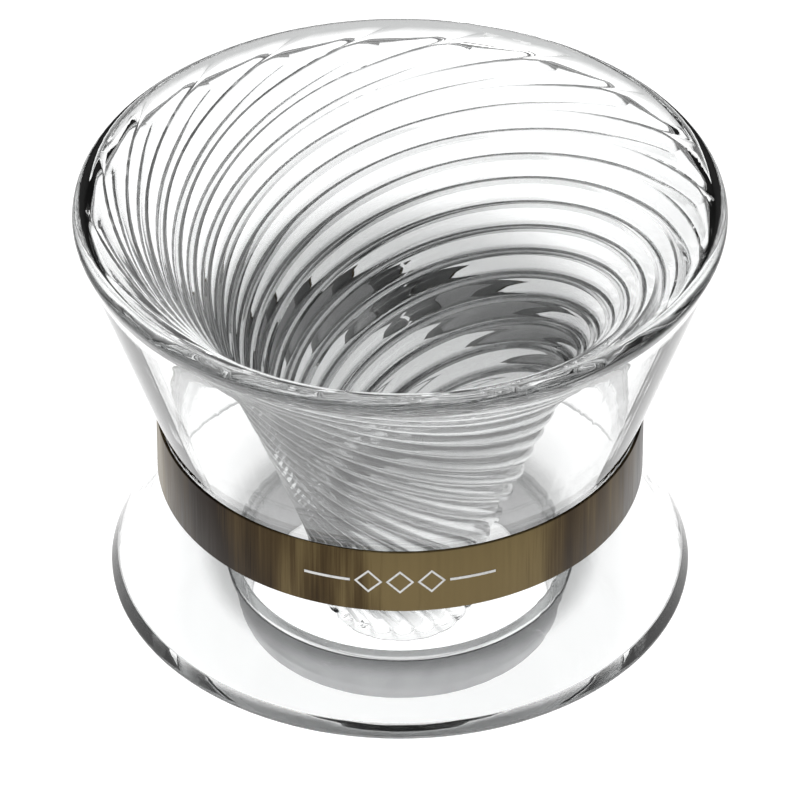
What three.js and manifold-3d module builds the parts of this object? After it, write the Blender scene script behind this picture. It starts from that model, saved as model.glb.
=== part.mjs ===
// A glass pour-over dripper. A spiral-ribbed cone hangs inside an hourglass shell, both sit on a base
// dish whose boss drops into the mouth of a server, and a bronzed steel band is wrapped round the
// waist. Millimetres, +Z up, with the origin under the centre of the boss.
import * as THREE from "three";
import { mergeVertices } from "three/addons/utils/BufferGeometryUtils.js";
import Module from "manifold-3d";

const wasm = await Module();
wasm.setup();

// Driving dimensions
const GAP = 0.3; // left between pieces that touch
const GLASS = 1.9; // thickness of the blown walls
const SIDES = 60; // facets round every turned piece

const RIM_RADIUS = 62;
const RIM_HEIGHT = 95.4; // of the rim's widest circle
const LIP_RADIUS = 1.6; // of the rolled lip's section
const LIP_STEP_RADIUS = 58.7; // where the lip steps out from the cone, over the shell's top edge
const LIP_ARC = { from: -70, to: 128, steps: 7 }; // degrees round the rolled lip, from below to above

const BAND_RADIUS = 46.9;
const BAND_THICKNESS = 0.6;
const BAND_BOTTOM = 35.85;
const BAND_TOP = 50;
const GROOVE_CLEARANCE = 0.05; // between the band's edges and the shell
const WAIST_FILLET = 12; // rounds the shell where its two cones meet
const CURVE_REACH = 0.4; // share of a fillet's radius that its curve takes from each cone
const SEAM_WIDTH = 0.8; // the open cut in the band, at the back
const SPLICE_WIDTH = 14; // the plate behind that cut
const SPLICE_THICKNESS = 0.5;
const SPLICE_SIDES = 6; // facets along it
const SPLICE_BOTTOM = 39.85;
const SPLICE_TOP = 45.5;
const LINER_BOTTOM = 38.25;
const LINER_TOP = 47.1;
const LINER_CLEARANCE = 0.36; // from the shell, which is faceted
const LINER_FILLET = 10.8; // rounds the liner's back like the waist
const LINER_BREAK = 15; // width of the break in the liner, where the splice sits

const SKIRT_RADIUS = 56.65; // the base's widest circle
const SKIRT_HEIGHT = 13; // at which the skirt's outer face reaches that radius
const PLATE_UNDERSIDE = 12; // the face that rests on a server
const PLATE_THICKNESS = 2;
const BOSS_TOP_RADIUS = 33;
const BOSS_FOOT_RADIUS = 30.6;
const SKIRT_EDGE_SLOPE = 0.3; // how far the plate's edge leans in over its thickness
const EDGE_ROUNDING = 0.8;
const ROUNDING_STEPS = { shell: 4, dish: 2, liner: 3 }; // facets in each rounded corner

const RIBS = 20;
const RIB_COLUMNS = [-0.21, 0, 0.21, 0.5]; // edges and crest of one rib, then the wall beside it
const RIB_DEPTH = 1.25; // how far a rib stands in from the cone's inner wall
const NOTCH_DEPTH = 1.3; // how far the groove behind a rib is pressed into the outer wall
const RIB_LEVELS = 26; // steps down a rib
const RIB_FADE = 1.2; // the height over which a rib ends, under the lip
const FOOT_FADE = 1; // the height above and below the foot over which it ends there
const TWIST_START = 4; // degrees, the first rib's place at the top of the cone
const TWIST_LOW = 2.2; // degrees of turn per millimetre at the foot
const TWIST_GAIN = 0.028; // how much that grows per millimetre of height
const CONE_TOP = 96.4;
const CONE_FOOT = 4; // where the ribs end
const CURVE_SAMPLES = 200; // points taken along each of the cone's two curves
const HOLE_RADIUS = 10;
const TIP_RADIUS = 14.2; // outside of the cone's tip, where the dish holds it

// The cone's inner wall between the ribs, as height and radius
const INNER_FACE = [
  [CONE_FOOT, 11.9],
  [25, 18.2],
  [62, 32.8],
  [80, 43.4],
  [90, 51.8],
  [95, 57.45],
  [CONE_TOP, 59.1],
];
// Its outer wall between the notches
const OUTER_FACE = [
  [CONE_FOOT, 14.3],
  [25, 20.4],
  [62, 35.1],
  [80, 45.7],
  [88, 52.3],
  [92.8, 58.4],
];
// The foot's section round the drip hole, from the inner wall to the outer one
const FOOT = [
  [HOLE_RADIUS + 0.6, 2.2],
  [HOLE_RADIUS, 1.4],
  [HOLE_RADIUS + 0.4, GAP],
  [TIP_RADIUS, GAP],
];

const BACK = Math.PI / 2; // the angle of the back, where the band's ends meet

const degrees = THREE.MathUtils.degToRad;

// Straight cone from one circle to another, as a radius at a height.
const coneRadius = (low, high) => (z) => low[1] + ((high[1] - low[1]) * (z - low[0])) / (high[0] - low[0]);

const GROOVE_RADIUS = BAND_RADIUS - BAND_THICKNESS - GROOVE_CLEARANCE; // the shell at the band's edges
const upperCone = coneRadius([BAND_TOP, GROOVE_RADIUS], [RIM_HEIGHT, RIM_RADIUS]);
const lowerCone = coneRadius([BAND_BOTTOM, GROOVE_RADIUS], [SKIRT_HEIGHT, SKIRT_RADIUS]);

// Smooth curve through [height, radius] pairs, sampled at a height.
function smoothRadius(pairs) {
  const curve = new THREE.SplineCurve(pairs.map(([z, r]) => new THREE.Vector2(z, r)));
  const points = curve.getPoints(CURVE_SAMPLES);
  return (z) => {
    const next = Math.max(1, points.findIndex((p) => p.x >= z));
    const a = points[next - 1];
    const b = points[next];
    return a.y + ((b.y - a.y) * (z - a.x)) / (b.x - a.x);
  };
}

// Points of an arc in the turning plane, from one angle to another in degrees.
function arc(r, z, radius, from, to, steps) {
  return Array.from({ length: steps + 1 }, (_, i) => {
    const a = degrees(from + ((to - from) * i) / steps);
    return new THREE.Vector2(r + radius * Math.cos(a), z + radius * Math.sin(a));
  });
}

// A path through corners [radius, height, rounding], each corner rounded by a quadratic curve.
function roundedPath(corners, steps) {
  return corners.flatMap(([r, z, rounding], i) => {
    const corner = new THREE.Vector2(r, z);
    if (!rounding) return [corner];
    const count = corners.length;
    const [before, after] = [corners[(i + count - 1) % count], corners[(i + 1) % count]].map(([x, y]) =>
      new THREE.Vector2(x, y).sub(corner).setLength(rounding).add(corner),
    );
    return new THREE.QuadraticBezierCurve(before, corner, after).getPoints(steps);
  });
}

// Turns a section about the upright axis. The section runs anticlockwise, radius across, height up.
function turned(section) {
  return new THREE.LatheGeometry([...section, section[0]], SIDES).rotateX(Math.PI / 2);
}

// Turns the ribbed cone's section. Each station is a ring at its own height, turned by the twist
// there and pressed in along the ribs by its depth times its press at each column.
function ribbed(stations) {
  const columns = RIBS * RIB_COLUMNS.length;
  const positions = stations.flatMap(({ r, z, depth, press }) =>
    Array.from({ length: columns }, (_, i) => {
      const across = RIB_COLUMNS[i % RIB_COLUMNS.length];
      const radius = depth ? r - depth * press(across) : r;
      const a = ribTwist(z) + (2 * Math.PI * (Math.floor(i / RIB_COLUMNS.length) + across)) / RIBS;
      return [radius * Math.cos(a), radius * Math.sin(a), z];
    }).flat(),
  );
  const faces = stations.flatMap((_, row) =>
    Array.from({ length: columns }, (_, i) => {
      const next = (row + 1) % stations.length;
      const [a, b] = [row * columns + i, row * columns + ((i + 1) % columns)];
      const [c, d] = [next * columns + ((i + 1) % columns), next * columns + i];
      const downwards = stations[next].z < stations[row].z; // keeps each diagonal along the ribs
      return downwards ? [a, b, d, b, c, d] : [a, b, c, a, c, d];
    }).flat(),
  );
  const geometry = new THREE.BufferGeometry();
  geometry.setAttribute("position", new THREE.Float32BufferAttribute(positions, 3));
  geometry.setIndex(faces);
  geometry.computeVertexNormals();
  return geometry;
}

// Degrees that the ribs have turned through up to a height. They turn faster the higher they are.
const turnUpTo = (z) => TWIST_LOW * z + (TWIST_GAIN * z * z) / 2;

// The angle of the first rib at a height.
const ribTwist = (z) => degrees(TWIST_START + turnUpTo(CONE_TOP) - turnUpTo(Math.min(z, CONE_TOP)));

// Heights from one to another, with the same turn of the ribs between neighbours.
function ribLevels(from, to) {
  return Array.from({ length: RIB_LEVELS }, (_, i) => {
    const turn = THREE.MathUtils.lerp(turnUpTo(from), turnUpTo(to), i / (RIB_LEVELS - 1));
    return (Math.sqrt(TWIST_LOW ** 2 + 2 * TWIST_GAIN * turn) - TWIST_LOW) / TWIST_GAIN;
  });
}

// How strong the ribs are at a height, from 0 to 1: they end under the lip and at the foot.
function ribStrength(z) {
  const fromFoot = THREE.MathUtils.smoothstep(z, CONE_FOOT - FOOT_FADE, CONE_FOOT + FOOT_FADE);
  const fromRim = 1 - THREE.MathUtils.smoothstep(z, CONE_TOP - RIB_FADE, CONE_TOP);
  return fromFoot * fromRim;
}

// A rib's crest is at 0, and the next rib's is at 1.
const ribPress = (across) => (across === 0 ? 1 : 0);
const notchPress = (across) => (1 - 2 * Math.abs(across)) ** 2;

function solidOf(geometry) {
  const bare = geometry.index ? geometry.toNonIndexed() : geometry.clone();
  bare.deleteAttribute("normal");
  bare.deleteAttribute("uv");
  const merged = mergeVertices(bare, 1e-3);
  const vertProperties = new Float32Array(merged.attributes.position.array);
  const triVerts = new Uint32Array(merged.index.array);
  return new wasm.Manifold(new wasm.Mesh({ numProp: 3, vertProperties, triVerts }));
}

function geometryOf(solid) {
  const mesh = solid.getMesh();
  const geometry = new THREE.BufferGeometry();
  geometry.setAttribute("position", new THREE.BufferAttribute(mesh.vertProperties, 3));
  geometry.setIndex(new THREE.BufferAttribute(mesh.triVerts, 1));
  geometry.computeVertexNormals();
  return geometry;
}

// Cuts a box out of a turned piece, centred on the back.
function cutAtBack(geometry, width) {
  const cutter = new THREE.BoxGeometry(width, BAND_RADIUS, RIM_HEIGHT).translate(0, BAND_RADIUS, BAND_TOP);
  return geometryOf(solidOf(geometry).subtract(solidOf(cutter)));
}

// Curved strip of sheet that stands on edge round the waist, with its ends at the two angles.
function curvedStrip([inner, outer], [from, to], [bottom, top], sides) {
  const shape = new THREE.Shape();
  shape.absarc(0, 0, outer, from, to, false);
  shape.absarc(0, 0, inner, to, from, true);
  const settings = { depth: top - bottom, bevelEnabled: false, curveSegments: sides };
  return new THREE.ExtrudeGeometry(shape, settings).translate(0, 0, bottom);
}

// Inner cone: walls with a rib inside each notch, an in-turned foot round the drip hole, and a
// rolled lip that reaches out over the shell's top edge.
function innerCone() {
  const inner = smoothRadius(INNER_FACE);
  const outer = smoothRadius(OUTER_FACE);
  const outside = ribLevels(CONE_FOOT, OUTER_FACE.at(-1)[0]).map((z) => {
    return { r: outer(z), z, depth: NOTCH_DEPTH * ribStrength(z), press: notchPress };
  });
  const inside = ribLevels(CONE_TOP, CONE_FOOT).map((z) => {
    return { r: inner(z), z, depth: RIB_DEPTH * ribStrength(z), press: ribPress };
  });
  const smooth = (points) => points.map(([r, z]) => ({ r, z, depth: 0 }));
  const { from, to, steps } = LIP_ARC;
  const roll = arc(RIM_RADIUS - LIP_RADIUS, RIM_HEIGHT, LIP_RADIUS, from, to, steps).map((p) => [p.x, p.y]);
  const lip = [[LIP_STEP_RADIUS, RIM_HEIGHT - LIP_RADIUS], ...roll];
  return ribbed([...outside, ...smooth(lip), ...inside, ...smooth(FOOT)]);
}

// Outer shell: an upper cone and a skirt in one blown wall, rounded where they meet at the waist.
function outerShell() {
  const top = RIM_HEIGHT - LIP_RADIUS - GAP;
  const bottom = PLATE_UNDERSIDE + PLATE_THICKNESS + GAP;
  const waist = waistHeight();
  const across = GLASS / Math.cos(Math.atan((RIM_RADIUS - GROOVE_RADIUS) / (RIM_HEIGHT - BAND_TOP)));
  const section = [
    [lowerCone(bottom) - across, bottom],
    [lowerCone(bottom), bottom],
    [upperCone(waist), waist, WAIST_FILLET * CURVE_REACH],
    [upperCone(top), top],
    [upperCone(top) - across, top],
    [upperCone(waist) - across, waist, WAIST_FILLET * CURVE_REACH],
  ];
  return turned(roundedPath(section, ROUNDING_STEPS.shell));
}

// The height at which the upper cone and the skirt would meet in a sharp edge.
function waistHeight() {
  const upperSlope = upperCone(1) - upperCone(0);
  const lowerSlope = lowerCone(1) - lowerCone(0);
  return (lowerCone(0) - upperCone(0)) / (upperSlope - lowerSlope);
}

// Base dish: a flat plate out to the skirt, and a boss with a thin floor that the cone's tip goes
// through. The plate's underside rests on a server, and the boss keeps it central.
function baseDish() {
  const plateTop = PLATE_UNDERSIDE + PLATE_THICKNESS;
  const section = [
    [TIP_RADIUS + GAP, 0],
    [BOSS_FOOT_RADIUS, 0, EDGE_ROUNDING],
    [BOSS_TOP_RADIUS, PLATE_UNDERSIDE, EDGE_ROUNDING],
    [SKIRT_RADIUS, PLATE_UNDERSIDE, EDGE_ROUNDING],
    [SKIRT_RADIUS - SKIRT_EDGE_SLOPE, plateTop],
    [BOSS_TOP_RADIUS - GLASS, plateTop, EDGE_ROUNDING],
    [BOSS_FOOT_RADIUS - GLASS, GLASS, EDGE_ROUNDING],
    [TIP_RADIUS + GAP, GLASS],
  ];
  return turned(roundedPath(section, ROUNDING_STEPS.dish));
}

// Liner: a soft wedge-shaped strip that fills the waist groove behind the band.
function bandLiner() {
  const waist = waistHeight();
  const face = BAND_RADIUS - BAND_THICKNESS - GAP;
  const section = [
    [lowerCone(LINER_BOTTOM) + LINER_CLEARANCE, LINER_BOTTOM],
    [face, LINER_BOTTOM],
    [face, LINER_TOP],
    [upperCone(LINER_TOP) + LINER_CLEARANCE, LINER_TOP],
    [upperCone(waist) + LINER_CLEARANCE, waist, LINER_FILLET * CURVE_REACH],
  ];
  return cutAtBack(turned(roundedPath(section, ROUNDING_STEPS.liner)), LINER_BREAK);
}

// Waist band: sheet bent into a ring, with its two ends meeting at the back.
function waistBand() {
  const halfCut = SEAM_WIDTH / 2 / BAND_RADIUS;
  const ends = [BACK + halfCut, BACK + 2 * Math.PI - halfCut];
  return curvedStrip([BAND_RADIUS - BAND_THICKNESS, BAND_RADIUS], ends, [BAND_BOTTOM, BAND_TOP], SIDES);
}

// Splice: a short plate behind the cut that holds the band's two ends together.
function bandSplice() {
  const half = SPLICE_WIDTH / 2 / BAND_RADIUS;
  const outer = BAND_RADIUS - BAND_THICKNESS - GAP;
  const faces = [outer - SPLICE_THICKNESS, outer];
  return curvedStrip(faces, [BACK - half, BACK + half], [SPLICE_BOTTOM, SPLICE_TOP], SPLICE_SIDES);
}

const MATERIALS = {
  glass: { color: 0xf4f7f7, roughness: 0.03, metalness: 0, transparent: true, opacity: 0.35 },
  bronze: { color: 0x6b5731, roughness: 0.35, metalness: 1 },
  steel: { color: 0x9a9b9b, roughness: 0.4, metalness: 1 },
  silicone: { color: 0xa9abab, roughness: 0.6, metalness: 0 },
};

const PIECES = [
  ["inner_cone", innerCone, "glass"],
  ["outer_shell", outerShell, "glass"],
  ["base_dish", baseDish, "glass"],
  ["waist_band", waistBand, "bronze"],
  ["band_splice", bandSplice, "steel"],
  ["band_liner", bandLiner, "silicone"],
];

const dripper = new THREE.Group();
for (const [name, build, finish] of PIECES) {
  const mesh = new THREE.Mesh(build(), new THREE.MeshStandardMaterial(MATERIALS[finish]));
  mesh.name = name;
  dripper.add(mesh);
}

export default dripper;
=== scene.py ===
"""A glass pour-over dripper on a pale floor: fused double-walled glass with spiral ribs, and a bronzed
band round its waist. Metres, +Z up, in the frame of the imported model."""

import math

import bpy
import numpy as np
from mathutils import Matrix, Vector


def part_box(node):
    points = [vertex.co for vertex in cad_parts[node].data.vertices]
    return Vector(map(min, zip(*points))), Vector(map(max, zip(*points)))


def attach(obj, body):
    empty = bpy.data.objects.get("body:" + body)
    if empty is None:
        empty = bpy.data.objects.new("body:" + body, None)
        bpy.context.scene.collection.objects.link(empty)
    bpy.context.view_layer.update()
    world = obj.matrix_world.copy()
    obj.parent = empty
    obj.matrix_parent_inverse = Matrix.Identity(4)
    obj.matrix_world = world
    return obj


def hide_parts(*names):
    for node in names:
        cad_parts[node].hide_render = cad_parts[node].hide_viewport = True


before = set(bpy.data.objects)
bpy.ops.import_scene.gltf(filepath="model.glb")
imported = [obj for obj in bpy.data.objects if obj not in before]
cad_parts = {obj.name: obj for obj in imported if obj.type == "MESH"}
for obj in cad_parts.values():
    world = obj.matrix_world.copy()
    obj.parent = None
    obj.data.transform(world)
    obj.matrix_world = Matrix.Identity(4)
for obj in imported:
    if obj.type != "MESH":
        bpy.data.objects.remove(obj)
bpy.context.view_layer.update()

MM = 0.001

# Sizes taken from the frame
RIM_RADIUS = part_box("inner_cone")[1][0]
RIM_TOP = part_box("inner_cone")[1][2]
BAND_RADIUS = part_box("waist_band")[1][0]
BAND_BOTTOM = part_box("waist_band")[0][2]
BAND_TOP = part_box("waist_band")[1][2]
SKIRT_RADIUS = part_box("base_dish")[1][0]
PLATE_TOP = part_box("base_dish")[1][2]
SPLICE_LOW, SPLICE_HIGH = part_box("band_splice")
LINER_LOW, LINER_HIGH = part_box("band_liner")

# Glass walls
WALL = 1.9 * MM
LIP_RADIUS = 1.6 * MM
LIP_TURN = (-20, 128)
LIP_STEPS = 16
RIM_HEIGHT = RIM_TOP - LIP_RADIUS
PLATE_THICKNESS = 2 * MM
PLATE_UNDERSIDE = PLATE_TOP - PLATE_THICKNESS
SKIRT_HEIGHT = PLATE_UNDERSIDE + 1 * MM
SKIRT_CORNER = SKIRT_RADIUS + 0.1 * MM
SKIRT_EDGE = 1.3 * MM
BOSS_TOP_RADIUS = 33 * MM
BOSS_FOOT_RADIUS = 30.6 * MM
BOSS_FLOOR = 1.8 * MM
FOOT_ROUNDING = 1.0 * MM
EDGE_ROUNDING = 0.8 * MM
WAIST_FILLET = 12 * MM
CURVE_REACH = 0.4
PLAIN_STEP = 4 * MM

# Round the drip hole: out from its edge, height and rounding in millimetres
HOLE_RADIUS = 10 * MM
HOLE_CORNERS = [(0.8, 2.4, 0), (0, 0.9, 0.7), (1.2, 0, 0.6)]

# The space between the walls: where the cone's tip runs out into the boss's floor, and its top
TIP_CURVE = [(14.5, 3.2), (15.2, 2.55), (16.6, 2.05), (18.6, 1.85)]
CAVITY_TOP = 92.8 * MM
CAVITY_INSET = 1.2 * MM
CAVITY_ROUNDING = 0.25 * MM
CAVITY_END = (58.7 * MM, CAVITY_TOP + 0.3 * MM)

# Height and radius of the cone's two faces
CONE_TOP = 96.4 * MM
CONE_FOOT = 4 * MM
INNER_FACE = [(4, 11.9), (25, 18.2), (62, 32.8), (80, 43.4), (90, 51.8), (95, 57.45), (96.4, 59.1)]
OUTER_FACE = [(4, 14.3), (25, 20.4), (62, 35.1), (80, 45.7), (88, 52.3), (92.8, 58.4)]
CURVE_SAMPLES = 40

# Ribs: a narrow round ridge on the inner face, and a sharp groove behind it on the outer one
RIBS = 20
RIB_COLUMNS = 12
COLUMNS = RIBS * RIB_COLUMNS
RIB_LEVELS = 112
RIB_WIDTH = 0.3
RIB_ROUNDNESS = 2.5
RIDGE_HEIGHT = 1.25 * MM
GROOVE_DEPTH = 1.3 * MM
FOOT_FADE = 1 * MM
LIP_FADE = (1.2 * MM, 0.1 * MM)
TWIST_START = math.radians(4)
TWIST_LOW = math.radians(2.2) / MM
TWIST_GAIN = math.radians(0.028) / MM**2

# Band, and what is behind it
BACK = math.pi / 2
FRONT = -math.pi / 2
BAND_THICKNESS = 0.6 * MM
BAND_EDGE = 0.18 * MM
BAND_INSIDE = BAND_RADIUS - BAND_THICKNESS
BARE_REACH = 0.02 * MM
BAND_STEPS = 300
SEAM_WIDTH = 0.8 * MM
WAIST_RADIUS = BAND_INSIDE - 0.05 * MM
SPLICE_THICKNESS = 0.5 * MM
SPLICE_EDGE = 0.15 * MM
SPLICE_STEPS = 16
LINER_CLEARANCE = 0.3 * MM
LINER_WAIST = 0.36 * MM
LINER_REACH = 0.36
LINER_END_GAP = 0.5 * MM
LINER_STEPS = 240

# The mark on the band's front
STROKE = 0.28 * MM
INK = (0.01 * MM, 0.06 * MM)
MARK_HEIGHT = (BAND_BOTTOM + BAND_TOP) / 2
DIAMOND = 2.4 * MM
DIAMOND_STEP = 6 * MM
RULE = (9.5 * MM, 18.5 * MM)
RULE_STATIONS = 13

# Painted shade in the glass, grey at its thick edges and on the lower cone: how far from each edge it starts
# and is full, and how strong it is
GLASS_IOR = 1.47
CLEAR = (0.985, 0.99, 0.99)
PAINTED_GREY = (0.12, 0.125, 0.125)
RIM_EDGE = (1.0 * MM, 0.3 * MM)
RIM_SHADE = 0.85
SKIRT_SHADE_EDGE = (1.6 * MM, 0.8 * MM)
SHOULDER_INSIDE = (2.6 * MM, 2.0 * MM)
SHOULDER_OUTSIDE = (0.3 * MM, 0.9 * MM)
SHOULDER_UNDER = (2 * MM, 1 * MM)
LOW_ABOVE = (2 * MM, 4 * MM)
TIP_RADII = (34 * MM, 40 * MM)
TIP_HEIGHTS = (4 * MM, 12 * MM)
TIP_SHADE = 0.52
CONE_SLOPE = 0.36
CONE_REACH = (14.2 * MM, 14.8 * MM)
LINE_HEIGHTS = (2 * MM, 4 * MM)
LINE_EDGES = (0.05, 0.18)
LINE_SHADE = 0.4
GROUND_REACH = 0.5 * MM
GROUND_BOTTOM = 0.3 * MM
GROUND_TOP = PLATE_UNDERSIDE - 0.5 * MM

# Bronze: dark, middle and light, spread by painted reflection streaks and a painted sheen round the band
BRONZE_DARK = (0.016, 0.01, 0.006)
BRONZE_MIDDLE = (0.062, 0.042, 0.02)
BRONZE_LIGHT = (0.15, 0.112, 0.052)
SHEEN_SEED = 7.9
SHEEN_SCALE = 15.0
SHEEN_SPAN = (0.36, 0.68, -0.08, 0.16)
REFLECTION_STREAK_SHARE = 0.6
HAIR_SHARE = 0.2

# Studio
# Painted light: the liner's faint emission
LINER_GLOW = 0.2
FLOOR_HALF = 3
FLOOR_PAINT = 0.3
FLOOR_GLOW = 0.1
# Painted pool of light and painted shadow, both in the floor's emission
POOL_CENTRE = (0, 0.075)
POOL_HALF = (0.105, 0.155)
POOL_FADE = (1.2, 3.2)
POOL_GLOW = 1.1
SHADE = 0.4
SHADE_CENTRE = (0, 0.032)
SHADE_HALF = (0.045, 0.036)
SHADE_FADE = (0.5, 1.1)
WORLD_STOPS = [(0.2, 0.08), (0.8, 0.45)]
AIM = (0, 0, 0.05)
KEY_PLACE = (-0.5, -0.6, 0.9)
KEY_SIZE = (0.5, 0.5)
KEY_POWER = 4
CAMERA_TILT = math.radians(37.64)
CAMERA_AWAY = 1.5
CAMERA_HEIGHT = 0.05007
CAMERA_LENS = 351.0135
SENSOR = 36


def smooth_radius(pairs):
    """Radius at a height, on a Catmull-Rom curve through pairs of height and radius in millimetres."""
    points = np.array(pairs, float) * MM
    padded = np.vstack([2 * points[0] - points[1], points, 2 * points[-1] - points[-2]])
    steps = np.linspace(0, 1, CURVE_SAMPLES)[:, None]
    curve = []
    for a, b, c, d in zip(padded, padded[1:], padded[2:], padded[3:]):
        curve.append(0.5 * (2 * b + (c - a) * steps + (2 * a - 5 * b + 4 * c - d) * steps**2
                            + (3 * b - a - 3 * c + d) * steps**3))
    curve = np.vstack(curve)
    return lambda z: np.interp(z, curve[:, 0], curve[:, 1])


def smoothstep(x, low, high):
    """x from low to high as 0 to 1, with a smooth start and end."""
    t = np.clip((x - low) / (high - low), 0, 1)
    return t * t * (3 - 2 * t)


def twist_at(z):
    """Angle of the first rib at a height; the ribs turn faster the higher they are."""
    turn = lambda h: TWIST_LOW * h + TWIST_GAIN * h * h / 2
    return TWIST_START + turn(CONE_TOP) - turn(np.clip(z, CONE_FOOT, CONE_TOP))


def rib_strength(z):
    """How strong the ribs are at a height, from 0 to 1: they end at the foot and under the lip."""
    from_foot = smoothstep(z, CONE_FOOT - FOOT_FADE, CONE_FOOT + FOOT_FADE)
    from_lip = smoothstep(z, CONE_TOP - LIP_FADE[0], CONE_TOP - LIP_FADE[1])
    return from_foot * (1 - from_lip)


def rib_columns():
    """Where the columns stand in one rib's share of the circle: eight across the rib and four beside it."""
    across = np.linspace(-RIB_WIDTH / 2, RIB_WIDTH / 2, RIB_COLUMNS - 3)
    beside = np.linspace(RIB_WIDTH / 2, 1 - RIB_WIDTH / 2, 5)[1:-1]
    share = np.concatenate([across, beside])
    return (np.arange(RIBS)[:, None] + share).ravel()


def rib_shape():
    """Height of a rib at each column, from 0 to 1: a narrow round back on a smooth wall."""
    u = rib_columns()
    u = u - np.round(u)
    return np.clip(1 - np.abs(2 * u / RIB_WIDTH) ** RIB_ROUNDNESS, 0, 1)


def notch_shape():
    """Depth of the groove behind each rib, from 0 to 1: sharp, and gone half way to the next."""
    u = rib_columns()
    u = u - np.round(u)
    return (1 - 2 * np.abs(u)) ** 2


def arc(r, z, radius, start, end, steps):
    """Points of an arc as (r, z), from one angle to another in degrees."""
    a = np.radians(np.linspace(start, end, steps + 1))
    return [(r + radius * math.cos(t), z + radius * math.sin(t)) for t in a]


def rounded(corners, steps=8):
    """An open path through (r, z, rounding) corners, each rounded by a quadratic curve."""
    path = []
    for i, (r, z, rounding) in enumerate(corners):
        corner = np.array([r, z])
        if not rounding:
            path.append((r, z))
            continue
        ends = []
        for other in (corners[i - 1], corners[i + 1]):
            step = np.array(other[:2]) - corner
            ends.append(corner + step / np.linalg.norm(step) * rounding)
        for t in np.linspace(0, 1, steps + 1):
            path.append(tuple((1 - t) ** 2 * ends[0] + 2 * t * (1 - t) * corner + t * t * ends[1]))
    return path


def subdivide(path, longest):
    """The path with points added so that no step is longer than that."""
    out = [path[0]]
    for a, b in zip(path, path[1:]):
        a, b = np.array(a), np.array(b)
        count = max(1, math.ceil(np.linalg.norm(b - a) / longest))
        out += [tuple(a + (b - a) * k / count) for k in range(1, count + 1)]
    return out


class Skin:
    """Rings of vertices round the axis, joined into quads; several closed loops can share one mesh."""

    def __init__(self):
        self.verts, self.faces = [], []

    def loop(self, stations, shape, flip=False):
        """stations are (r, z, rib depth, twist); the last joins the first."""
        start = sum(len(v) for v in self.verts)
        angles = 2 * math.pi * rib_columns() / RIBS
        for r, z, depth, twist in stations:
            radius = r - depth * shape
            a = angles + twist
            self.verts.append(np.stack([radius * np.cos(a), radius * np.sin(a), np.full(COLUMNS, z)], 1))
        step = 2 * math.pi / RIBS
        shift = RIB_COLUMNS * round((stations[-1][3] - stations[0][3]) / step)
        i = np.arange(COLUMNS)
        for row in range(len(stations)):
            last = row == len(stations) - 1
            here = start + row * COLUMNS
            there = start if last else here + COLUMNS
            k = (i + shift if last else i) % COLUMNS
            quad = np.stack([here + i, here + (i + 1) % COLUMNS, there + (k + 1) % COLUMNS, there + k], 1)
            self.faces.append(quad[:, ::-1] if flip else quad)

    def object(self, name):
        return new_mesh(name, np.vstack(self.verts), np.vstack(self.faces))


def new_mesh(name, verts, faces):
    """A smooth-shaded object in the scene, made from points and faces."""
    mesh = bpy.data.meshes.new(name)
    mesh.from_pydata([tuple(v) for v in verts], [], [tuple(int(i) for i in f) for f in faces])
    mesh.validate()
    mesh.polygons.foreach_set("use_smooth", [True] * len(mesh.polygons))
    obj = bpy.data.objects.new(name, mesh)
    bpy.context.scene.collection.objects.link(obj)
    return obj


def upper_cone(z):
    """Radius of the shell's upper cone at a height."""
    return WAIST_RADIUS + (RIM_RADIUS - WAIST_RADIUS) * (z - BAND_TOP) / (RIM_HEIGHT - BAND_TOP)


def lower_cone(z):
    """Radius of the skirt at a height."""
    return WAIST_RADIUS + (SKIRT_RADIUS - WAIST_RADIUS) * (z - BAND_BOTTOM) / (SKIRT_HEIGHT - BAND_BOTTOM)


def waist_height():
    """Where the shell's two cones would meet in a sharp edge."""
    upper, lower = upper_cone(1) - upper_cone(0), lower_cone(1) - lower_cone(0)
    return (lower_cone(0) - upper_cone(0)) / (upper - lower)


def cone_stations(face, top, depth):
    """Ribbed stations down one face of the cone."""
    radius = smooth_radius(face)
    levels = np.linspace(top, CONE_FOOT, RIB_LEVELS)
    return [(radius(z), z, depth * rib_strength(z), twist_at(z)) for z in levels]


def plain_stations(path, ribbed):
    """Smooth stations on from the ribbed ones, which meet them again a whole number of ribs round."""
    path = subdivide(path, PLAIN_STEP)
    first, last = ribbed[0][3], ribbed[-1][3]
    step = 2 * math.pi / RIBS
    ease = step * round((last - first) / step) - (last - first)
    return [(r, z, 0, last + ease * (i + 1) / len(path)) for i, (r, z) in enumerate(path)]


def outside_path():
    """The glass's outside, from the drip hole under the base and up the shell to the top of the lip."""
    waist = waist_height()
    under_lip = RIM_HEIGHT - LIP_RADIUS
    hole = [(HOLE_RADIUS + out * MM, z * MM, rounding * MM) for out, z, rounding in HOLE_CORNERS]
    path = rounded([
        *hole,
        (BOSS_FOOT_RADIUS, 0, FOOT_ROUNDING),
        (BOSS_TOP_RADIUS, PLATE_UNDERSIDE, EDGE_ROUNDING),
        (SKIRT_CORNER, PLATE_UNDERSIDE, SKIRT_EDGE),
        (upper_cone(waist), waist, WAIST_FILLET * CURVE_REACH),
        (upper_cone(under_lip), under_lip, 0),
    ])
    return path + arc(RIM_RADIUS - LIP_RADIUS, RIM_HEIGHT, LIP_RADIUS, *LIP_TURN, LIP_STEPS)


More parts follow.
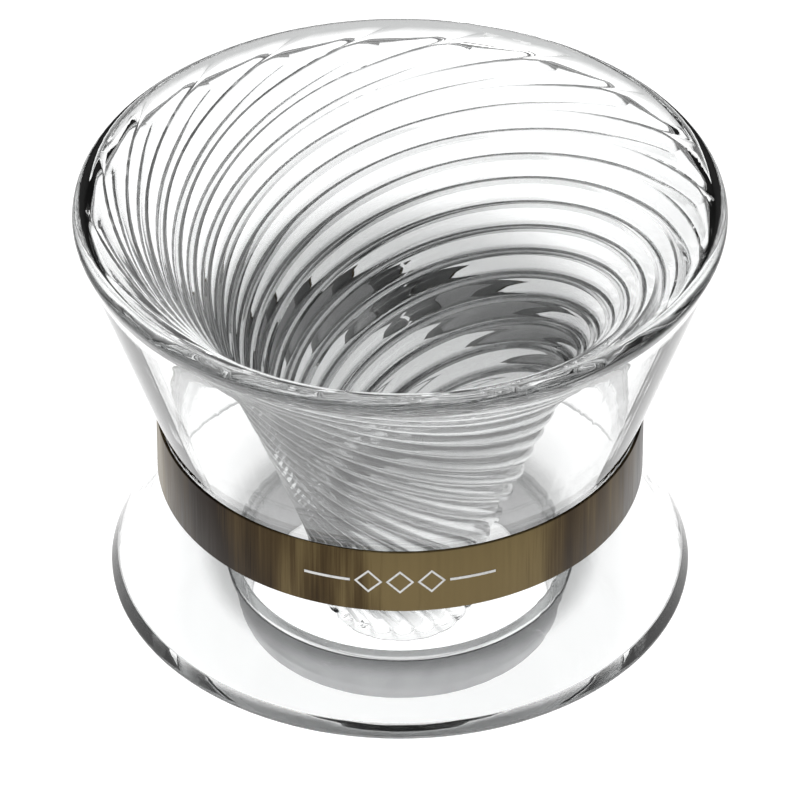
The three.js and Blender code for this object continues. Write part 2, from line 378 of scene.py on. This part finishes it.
def cavity_path():
    """The space between the walls, from the cone's tip along the boss and up inside the shell."""
    waist = waist_height()
    wall = WALL / math.cos(math.atan2(RIM_RADIUS - WAIST_RADIUS, RIM_HEIGHT - BAND_TOP))
    tip = [(r * MM, z * MM, 0) for r, z in TIP_CURVE]
    return rounded([
        *tip,
        (BOSS_FOOT_RADIUS - WALL, BOSS_FLOOR, FOOT_ROUNDING),
        (BOSS_TOP_RADIUS - WALL, PLATE_TOP, EDGE_ROUNDING),
        (lower_cone(PLATE_TOP) - wall, PLATE_TOP, EDGE_ROUNDING),
        (upper_cone(waist) - wall, waist, WAIST_FILLET * CURVE_REACH),
        (upper_cone(CAVITY_TOP) - CAVITY_INSET, CAVITY_TOP, CAVITY_ROUNDING),
        (*CAVITY_END, 0),
    ])


def make_glass():
    """The fused glass: an outside skin, and the skin of the space between its two walls."""
    skin = Skin()
    inside = cone_stations(INNER_FACE, CONE_TOP, RIDGE_HEIGHT)
    skin.loop(inside + plain_stations(outside_path(), inside), rib_shape())
    ribbed = cone_stations(OUTER_FACE, CAVITY_TOP, GROOVE_DEPTH)
    skin.loop(ribbed + plain_stations(cavity_path(), ribbed), notch_shape(), flip=True)

    glass = skin.object("glass_body")
    glass.data.materials.append(glass_material())
    glass.data.materials.append(ground_material())
    for face in glass.data.polygons:
        height = face.center.z
        side = BOSS_FOOT_RADIUS + (BOSS_TOP_RADIUS - BOSS_FOOT_RADIUS) * height / PLATE_UNDERSIDE
        close = abs(face.center.xy.length - side) < GROUND_REACH
        face.material_index = int(close and GROUND_BOTTOM < height < GROUND_TOP)
    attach(glass, "root")
    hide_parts("inner_cone", "outer_shell", "base_dish")


def strip(name, section, start, end, steps):
    """A solid swept round the axis: section is a closed ring of (r, z), and its ends are capped."""
    count = len(section)
    verts, faces = [], []
    for a in np.linspace(start, end, steps + 1):
        verts += [(r * math.cos(a), r * math.sin(a), z) for r, z in section]
    for row in range(steps):
        for i in range(count):
            j = (i + 1) % count
            here, there = row * count, (row + 1) * count
            faces.append((here + i, here + j, there + j, there + i))
    faces.append(tuple(range(count))[::-1])
    faces.append(tuple(steps * count + i for i in range(count)))
    return new_mesh(name, verts, faces)


def sheet_section(inner, outer, low, high, edge):
    """The section of a sheet on edge, with rounded corners; it runs clockwise seen along the sweep."""
    corners = ((outer - edge, high - edge, 0), (inner + edge, high - edge, 90),
               (inner + edge, low + edge, 180), (outer - edge, low + edge, 270))
    return [p for r, z, turn in corners for p in arc(r, z, edge, turn, turn + 90, 4)][::-1]


def make_band():
    """Bronzed on the outside and edges, and bare steel inside, with its two ends meeting at the back."""
    half_cut = SEAM_WIDTH / 2 / BAND_RADIUS
    section = sheet_section(BAND_INSIDE, BAND_RADIUS, BAND_BOTTOM, BAND_TOP, BAND_EDGE)
    band = strip("waist_band_sheet", section, BACK + half_cut, BACK + 2 * math.pi - half_cut, BAND_STEPS)
    band.data.materials.append(bronze_material())
    band.data.materials.append(bare_steel_material())
    for face in band.data.polygons:
        x, y = face.center.xy
        face.material_index = int(math.hypot(x, y) < BAND_INSIDE + BARE_REACH)
    mark = make_mark()
    with bpy.context.temp_override(active_object=band, selected_editable_objects=[band, mark]):
        bpy.ops.object.join()
    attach(band, "root")
    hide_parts("waist_band")


def ink_stroke(stations, closed):
    """A thin raised stroke on the band: each station is its left and right edge, as (way round, height)."""
    verts, faces = [], []
    for left, right in stations:
        for (way, height), lift in ((left, INK[0]), (right, INK[0]), (right, INK[1]), (left, INK[1])):
            a = FRONT + way / BAND_RADIUS
            r = BAND_RADIUS + lift
            verts.append((r * math.cos(a), r * math.sin(a), height))
    count = len(stations)
    for k in range(count if closed else count - 1):
        here, there = 4 * k, 4 * ((k + 1) % count)
        for i in range(4):
            j = (i + 1) % 4
            faces.append((here + i, there + i, there + j, here + j))
    if not closed:
        faces.append((0, 1, 2, 3))
        faces.append(tuple(len(verts) - 4 + i for i in (3, 2, 1, 0)))
    return verts, faces


def mark_strokes():
    """A rule on each side of three small open diamonds."""
    strokes = []
    for side in (-1, 1):
        ways = [side * w for w in np.linspace(*RULE, RULE_STATIONS)][::side]
        stations = [((w, MARK_HEIGHT + STROKE), (w, MARK_HEIGHT - STROKE)) for w in ways]
        strokes.append(ink_stroke(stations, False))
    corners = [(math.cos(t), math.sin(t)) for t in np.radians((180, 90, 0, 270))]
    for middle in (-DIAMOND_STEP, 0, DIAMOND_STEP):
        ring = []
        for c, d in corners:
            sizes = (DIAMOND + STROKE, DIAMOND - STROKE)
            ring.append(tuple((middle + size * c, MARK_HEIGHT + size * d) for size in sizes))
        strokes.append(ink_stroke(ring, True))
    return strokes


def make_mark():
    """The printed mark's mesh, before it is joined to the band."""
    verts, faces = [], []
    for points, sides in mark_strokes():
        faces += [tuple(len(verts) + i for i in side) for side in sides]
        verts += points
    mark = new_mesh("band_mark", verts, faces)
    mark.data.polygons.foreach_set("use_smooth", [False] * len(mark.data.polygons))
    mark.data.materials.append(ink_material())
    return mark


def make_splice():
    """The short plate behind the cut, which joins the band's ends."""
    half = (SPLICE_HIGH[0] - SPLICE_LOW[0]) / 2 / BAND_RADIUS
    outer = SPLICE_HIGH[1]
    section = sheet_section(outer - SPLICE_THICKNESS, outer, SPLICE_LOW[2], SPLICE_HIGH[2], SPLICE_EDGE)
    plate = strip("band_splice_plate", section, BACK - half, BACK + half, SPLICE_STEPS)
    plate.data.materials.append(bare_steel_material())
    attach(plate, "root")
    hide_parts("band_splice")


def make_liner():
    """The soft wedge that fills the waist groove behind the band."""
    waist = waist_height()
    face = BAND_INSIDE - LINER_CLEARANCE
    low, high = LINER_LOW[2], LINER_HIGH[2]
    section = rounded([
        (lower_cone(low) + LINER_CLEARANCE, low, 0),
        (face, low, 0),
        (face, high, 0),
        (upper_cone(high) + LINER_CLEARANCE, high, 0),
        (upper_cone(waist) + LINER_WAIST, waist, WAIST_FILLET * LINER_REACH),
        (lower_cone(low) + LINER_CLEARANCE, low, 0),
    ])[:-1]
    half = (SPLICE_HIGH[0] + LINER_END_GAP) / face
    liner = strip("waist_liner", section[::-1], BACK + half, BACK + 2 * math.pi - half, LINER_STEPS)
    liner.data.materials.append(silicone_material())
    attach(liner, "root")
    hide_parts("band_liner")


def new_material(name, base, roughness, metallic=0):
    """A material, its shader and two helpers: add makes a node with its inputs, and link joins sockets."""
    material = bpy.data.materials.new(name)
    material.use_nodes = True
    tree = material.node_tree
    shader = tree.nodes["Principled BSDF"]
    shader.inputs["Base Color"].default_value = (*base, 1)
    shader.inputs["Roughness"].default_value = roughness
    shader.inputs["Metallic"].default_value = metallic

    def add(kind, settings=(), **inputs):
        node = tree.nodes.new("ShaderNode" + kind)
        for key, value in dict(settings).items():
            setattr(node, key, value)
        for key, value in inputs.items():
            socket = node.inputs[int(key[1:]) if key[0] == "_" else key.replace("_", " ")]
            if isinstance(value, bpy.types.NodeSocket):
                tree.links.new(value, socket)
            else:
                socket.default_value = value
        return node

    return material, shader, add, tree.links.new


def maths(add, operation, a, b=0.0):
    """The result of one Math node."""
    return add("Math", {"operation": operation}, _0=a, _1=b).outputs[0]


def between(add, value, low, high, start=0.0, end=1.0):
    """value from low to high becomes start to end, smoothly and no further."""
    node = add("MapRange", {"interpolation_type": "SMOOTHSTEP"}, Value=value, From_Min=low, From_Max=high,
               To_Min=start, To_Max=end)
    return node.outputs["Result"]


def place(add):
    """Sockets for the place as a vector, its height, its radius from the axis and the angle round it."""
    where = add("TexCoord").outputs["Object"]
    x, y, z = add("SeparateXYZ", _0=where).outputs
    squares = maths(add, "ADD", maths(add, "MULTIPLY", x, x), maths(add, "MULTIPLY", y, y))
    return where, z, maths(add, "SQRT", squares), maths(add, "ARCTAN2", x, y)


def noise(add, where, scale, detail):
    """A noise value, mostly between 0.3 and 0.7."""
    return add("TexNoise", Vector=where, Scale=scale, Detail=detail).outputs[0]


def bumped(add, strength, distance, height):
    """A normal that follows a height, as deep as the distance in metres."""
    return add("Bump", Strength=strength, Distance=distance, Height=height).outputs["Normal"]


def ramp(add, value, stops):
    """A colour ramp through (position, colour) stops."""
    node = add("ValToRGB", _0=value)
    elements = node.color_ramp.elements
    for element, (position, colour) in zip(elements, (stops[0], stops[-1])):
        element.position = position
        element.color = (*colour, 1)
    for position, colour in stops[1:-1]:
        elements.new(position).color = (*colour, 1)
    return node.outputs["Color"]


def rib_lines(add, z, angle):
    """1 along the crest of each rib and 0 between them, by the same twist as the mesh."""
    slope = maths(add, "ADD", maths(add, "MULTIPLY", z, TWIST_GAIN / 2), TWIST_LOW)
    turn = maths(add, "MULTIPLY", slope, z)
    top = TWIST_START + TWIST_LOW * CONE_TOP + TWIST_GAIN * CONE_TOP**2 / 2
    way = maths(add, "SUBTRACT", math.pi / 2 - top, angle)
    ribs = maths(add, "MULTIPLY", maths(add, "ADD", way, turn), RIBS / (2 * math.pi))
    across = maths(add, "FRACT", maths(add, "ADD", ribs, 0.5))
    off = maths(add, "ABSOLUTE", maths(add, "SUBTRACT", across, 0.5))
    return between(add, off, *LINE_EDGES, 1, 0)


def painted_edge_shade(add, z, radius):
    """Painted shade: how grey the glass is painted at the thick edges of the rim, the skirt and the boss's
    shoulder.
    """
    rim = between(add, radius, RIM_RADIUS - RIM_EDGE[0], RIM_RADIUS - RIM_EDGE[1], 0, RIM_SHADE)
    skirt = between(add, radius, SKIRT_RADIUS - SKIRT_SHADE_EDGE[0], SKIRT_RADIUS - SKIRT_SHADE_EDGE[1])
    inside = [BOSS_TOP_RADIUS - inset for inset in SHOULDER_INSIDE]
    outside = [BOSS_TOP_RADIUS + outset for outset in SHOULDER_OUTSIDE]
    under = [PLATE_UNDERSIDE - drop for drop in SHOULDER_UNDER]
    shoulder = maths(add, "MULTIPLY", between(add, radius, *inside), between(add, radius, *outside, 1, 0))
    shoulder = maths(add, "MULTIPLY", shoulder, between(add, z, *under))
    low = between(add, z, PLATE_TOP + LOW_ABOVE[0], PLATE_TOP + LOW_ABOVE[1], 1, 0)
    edge = maths(add, "MULTIPLY", maths(add, "MAXIMUM", skirt, shoulder), low)
    return maths(add, "MAXIMUM", edge, rim)


def cone_painted_shade(add, z, radius, angle):
    """Painted shade: how grey the lower cone is painted, evenly, and more along its ribs."""
    # painted shade, even over the cone's tip and in lines along the rib crests
    even = between(add, radius, *TIP_RADII, TIP_SHADE, 0)
    even = maths(add, "MULTIPLY", even, between(add, z, *TIP_HEIGHTS))
    past_cone = maths(add, "SUBTRACT", radius, maths(add, "MULTIPLY", z, CONE_SLOPE))
    on_cone = between(add, past_cone, *CONE_REACH, LINE_SHADE, 0)
    lines = maths(add, "MULTIPLY", on_cone, rib_lines(add, z, angle))
    return maths(add, "ADD", even, maths(add, "MULTIPLY", lines, between(add, z, *LINE_HEIGHTS)))


def glass_material():
    """Clear glass: a slow waviness, a faint haze, and painted shade that greys its thick edges along their
    length and its lower cone.
    """
    material, shader, add, link = new_material("clear_glass", (1, 1, 1), 0)
    shader.inputs["IOR"].default_value = GLASS_IOR
    shader.inputs["Transmission Weight"].default_value = 1
    where, z, radius, angle = place(add)
    # painted shade: grey painted into the glass at its thick edges and on the lower cone
    grey = maths(add, "MAXIMUM", painted_edge_shade(add, z, radius), cone_painted_shade(add, z, radius, angle))
    link(ramp(add, grey, [(0, CLEAR), (1, PAINTED_GREY)]), shader.inputs["Base Color"])
    haze = noise(add, where, 90.0, 4.0)
    link(between(add, haze, 0.5, 0.75, 0, 0.012), shader.inputs["Roughness"])
    wave = noise(add, where, 70.0, 1.5)
    link(bumped(add, 0.35, 0.12 * MM, wave), shader.inputs["Normal"])
    return material


def ground_material():
    """The ground side of the boss: even grey, with a fine grain."""
    material, shader, add, link = new_material("ground_glass", (0.3, 0.3, 0.3), 0.35)
    shader.inputs["IOR"].default_value = GLASS_IOR
    shader.inputs["Transmission Weight"].default_value = 1
    where = add("TexCoord").outputs["Object"]
    cloud = noise(add, where, 140.0, 3.0)
    grey = ramp(add, cloud, [(0.3, (0.12, 0.12, 0.125)), (0.7, (0.17, 0.17, 0.175))])
    link(grey, shader.inputs["Base Color"])
    grain = noise(add, where, 2500.0, 2.0)
    link(bumped(add, 0.3, 0.02 * MM, grain), shader.inputs["Normal"])
    return material


def brushed(name, streak_colours, roughness, streaks, hair):
    """Metal brushed up the band: broad streaks that are painted reflections, a slow painted sheen, and fine
    hairlines of grain, all changing with the angle round it.
    """
    material, shader, add, link = new_material(name, streak_colours[0][1], roughness[0], 1)
    _, z, _, angle = place(add)
    east = maths(add, "MULTIPLY", maths(add, "SINE", angle), BAND_RADIUS)
    north = maths(add, "MULTIPLY", maths(add, "COSINE", angle), BAND_RADIUS)
    slow = add("CombineXYZ", X=east, Y=north, Z=maths(add, "MULTIPLY", z, 0.15)).outputs[0]
    fast = add("CombineXYZ", X=east, Y=north, Z=maths(add, "MULTIPLY", z, 0.02)).outputs[0]
    broad = add("TexNoise", Vector=slow, Scale=streaks, Detail=3.0, Roughness=0.6).outputs[0]
    hairs = add("TexNoise", Vector=fast, Scale=hair, Detail=3.0, Roughness=0.7).outputs[0]
    four = {"noise_dimensions": "4D"}
    # painted sheen: a slow lighter and darker change round the band that stands in for reflections
    painted_sheen = add("TexNoise", four, Vector=slow, W=SHEEN_SEED, Scale=SHEEN_SCALE, Detail=0.0).outputs[0]
    # painted reflection streaks, mixed with the hairlines' grain
    painted_streaks = maths(add, "MULTIPLY", broad, REFLECTION_STREAK_SHARE)
    mixed = maths(add, "ADD", painted_streaks, maths(add, "MULTIPLY", hairs, HAIR_SHARE))
    mixed = maths(add, "ADD", mixed, between(add, painted_sheen, *SHEEN_SPAN))
    link(ramp(add, mixed, streak_colours), shader.inputs["Base Color"])
    link(between(add, hairs, 0.3, 0.7, *roughness), shader.inputs["Roughness"])
    link(bumped(add, 0.25, 0.02 * MM, hairs), shader.inputs["Normal"])
    return material


def bronze_material():
    """Dark bronze with lighter olive streaks, which are painted reflections."""
    stops = [(0.38, BRONZE_DARK), (0.47, BRONZE_MIDDLE), (0.56, BRONZE_LIGHT)]
    return brushed("bronzed_steel", stops, (0.28, 0.42), 55.0, 1500.0)


def bare_steel_material():
    """Plain grey sheet with a faint grain, and faint painted reflection streaks and sheen."""
    stops = [(0.3, (0.42, 0.42, 0.42)), (0.7, (0.6, 0.6, 0.59))]
    return brushed("bare_steel", stops, (0.38, 0.5), 80.0, 1800.0)


def ink_material():
    """White ink, a little worn, on the band's front."""
    material, shader, add, link = new_material("white_ink", (0.85, 0.85, 0.84), 0.5)
    where = add("TexCoord").outputs["Object"]
    wear = noise(add, where, 1200.0, 4.0)
    link(ramp(add, wear, [(0.3, (0.72, 0.72, 0.7)), (0.5, (0.88, 0.88, 0.87))]), shader.inputs["Base Color"])
    return material


def silicone_material():
    """Pale silicone with a soft mottle and a dry skin, and a faint glow of painted light."""
    material, shader, add, link = new_material("grey_silicone", (0.85, 0.85, 0.85), 0.6)
    where = add("TexCoord").outputs["Object"]
    mottle = noise(add, where, 220.0, 4.0)
    link(ramp(add, mottle, [(0.3, (0.8, 0.8, 0.8)), (0.7, (0.88, 0.88, 0.88))]), shader.inputs["Base Color"])
    link(between(add, mottle, 0.3, 0.7, 0.5, 0.7), shader.inputs["Roughness"])
    # painted light: a faint white emission brightens the liner, though it is no lamp
    shader.inputs["Emission Color"].default_value = (1, 1, 1, 1)
    shader.inputs["Emission Strength"].default_value = LINER_GLOW
    skin = noise(add, where, 3000.0, 2.0)
    link(bumped(add, 0.2, 0.02 * MM, skin), shader.inputs["Normal"])
    return material


def reach(add, x, y, centre, half):
    """Distance from a floor ellipse's centre, 1 on its edge."""
    across = maths(add, "DIVIDE", maths(add, "SUBTRACT", x, centre[0]), half[0])
    along = maths(add, "DIVIDE", maths(add, "SUBTRACT", y, centre[1]), half[1])
    squares = maths(add, "ADD", maths(add, "MULTIPLY", across, across), maths(add, "MULTIPLY", along, along))
    return maths(add, "SQRT", squares)


def make_floor():
    """A pale floor whose emission paints a soft pool of light round the object, and a faint painted shadow
    under it.
    """
    corners = [(x * FLOOR_HALF, y * FLOOR_HALF, 0) for x, y in ((-1, -1), (1, -1), (1, 1), (-1, 1))]
    floor = new_mesh("floor", corners, [(0, 1, 2, 3)])
    material, shader, add, link = new_material("floor", (FLOOR_PAINT,) * 3, 0.8)
    x, y, _ = add("SeparateXYZ", _0=add("TexCoord").outputs["Object"]).outputs
    # painted pool of light: the floor glows strongly round the object and faintly far away
    glow = between(add, reach(add, x, y, POOL_CENTRE, POOL_HALF), *POOL_FADE, POOL_GLOW, FLOOR_GLOW)
    # painted shadow: the glow is dimmed by SHADE at the patch's centre, just behind the axis
    shade = between(add, reach(add, x, y, SHADE_CENTRE, SHADE_HALF), *SHADE_FADE, 1 - SHADE, 1)
    link(maths(add, "MULTIPLY", glow, shade), shader.inputs["Emission Strength"])
    shader.inputs["Specular IOR Level"].default_value = 0
    shader.inputs["Emission Color"].default_value = (1, 1, 1, 1)
    floor.data.materials.append(material)


def make_world():
    """A studio that is dim at the horizon and paler overhead."""
    world = bpy.data.worlds.new("studio")
    bpy.context.scene.world = world
    world.use_nodes = True
    tree = world.node_tree
    where = tree.nodes.new("ShaderNodeTexCoord")
    split = tree.nodes.new("ShaderNodeSeparateXYZ")
    sky = tree.nodes.new("ShaderNodeValToRGB")
    tree.links.new(where.outputs["Generated"], split.inputs[0])
    tree.links.new(split.outputs["Z"], sky.inputs[0])
    tree.links.new(sky.outputs[0], tree.nodes["Background"].inputs["Color"])
    for element, (height, grey) in zip(sky.color_ramp.elements, WORLD_STOPS):
        element.position = height
        element.color = (grey, grey, grey, 1)


def make_light(name, location, size, power):
    """A soft rectangular light that faces the object."""
    light = bpy.data.objects.new(name, bpy.data.lights.new(name, "AREA"))
    light.data.shape = "RECTANGLE"
    light.data.size, light.data.size_y = size
    light.data.energy = power
    light.location = location
    light.rotation_euler = (Vector(AIM) - Vector(location)).to_track_quat("-Z", "Y").to_euler()
    bpy.context.scene.collection.objects.link(light)


def make_camera():
    """A long lens that looks down at the dripper's front."""
    camera = bpy.data.objects.new("camera", bpy.data.cameras.new("camera"))
    bpy.context.scene.collection.objects.link(camera)
    camera.data.sensor_width = SENSOR
    camera.data.lens = CAMERA_LENS
    up = CAMERA_HEIGHT + CAMERA_AWAY * math.sin(CAMERA_TILT)
    camera.location = (0, -CAMERA_AWAY * math.cos(CAMERA_TILT), up)
    camera.rotation_euler = (math.pi / 2 - CAMERA_TILT, 0, 0)
    bpy.context.scene.camera = camera


make_camera()
make_glass()
make_band()
make_splice()
make_liner()
make_floor()
make_world()
make_light("key_light", KEY_PLACE, KEY_SIZE, KEY_POWER)

scene = bpy.context.scene
scene.view_settings.view_transform = "Standard"
scene.cycles.use_denoising = True
scene.cycles.max_bounces = 24
scene.cycles.transmission_bounces = 24
scene.cycles.glossy_bounces = 12
scene.cycles.transparent_max_bounces = 16
